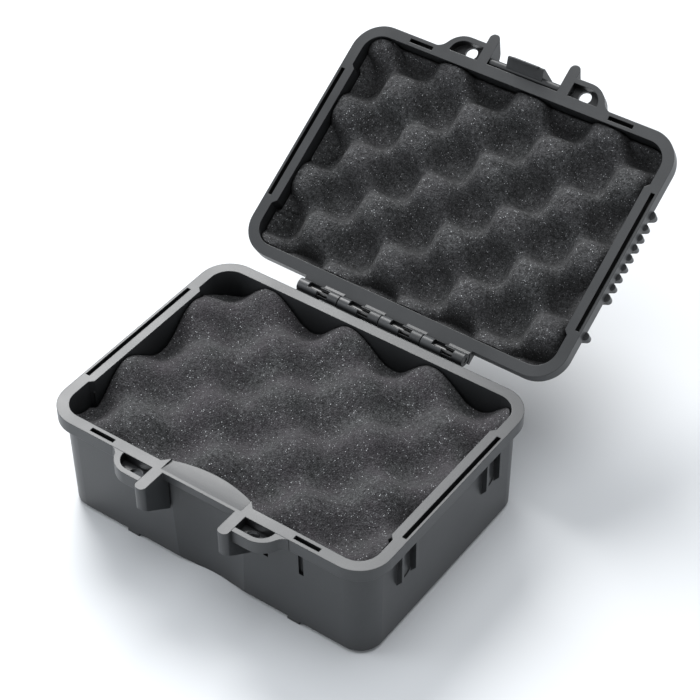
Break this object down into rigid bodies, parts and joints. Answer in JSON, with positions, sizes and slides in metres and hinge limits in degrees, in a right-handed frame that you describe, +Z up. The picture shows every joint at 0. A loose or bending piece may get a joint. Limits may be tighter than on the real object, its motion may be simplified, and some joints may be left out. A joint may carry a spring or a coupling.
{
  "type": "microphone case",
  "caption": "Small moulded hard case with a hinged lid, front latch, padlock ears and egg-crate foam linings, standing open.",
  "frame": {"origin": "centre of the base's bottom face, on the surface that it rests on", "axes": "+X along the hinge, -Y towards the latch, +Z up"},
  "size_m": [0.1942, 0.298, 0.1451],
  "materials": {
    "shell_plastic": "fine moulded texture, dark grey ABS",
    "latch_plastic": "smooth moulded black plastic",
    "foam": "open-cell charcoal foam",
    "steel": "plain drawn rod"
  },
  "bodies": {
    "base": {"base_shell": "shell_plastic", "base_ear_left": "shell_plastic", "base_ear_right": "shell_plastic", "base_foam": "foam", "hinge_pin": "steel"},
    "lid": {"lid_shell": "shell_plastic", "lid_foam": "foam", "latch_pin": "steel"},
    "latch": {"latch": "latch_plastic"}
  },
  "joints": [
    {"name": "lid_hinge", "type": "hinge", "parent": "base", "child": "lid", "pos_m": [0, 0.0753, 0.0608], "axis": [1, 0, 0], "range_deg": [0, 148]},
    {"name": "latch_hinge", "type": "hinge", "parent": "lid", "child": "latch", "pos_m": [0, 0.2025, 0.13521], "axis": [1, 0, 0], "range_deg": [-20, 45]}
  ]
}
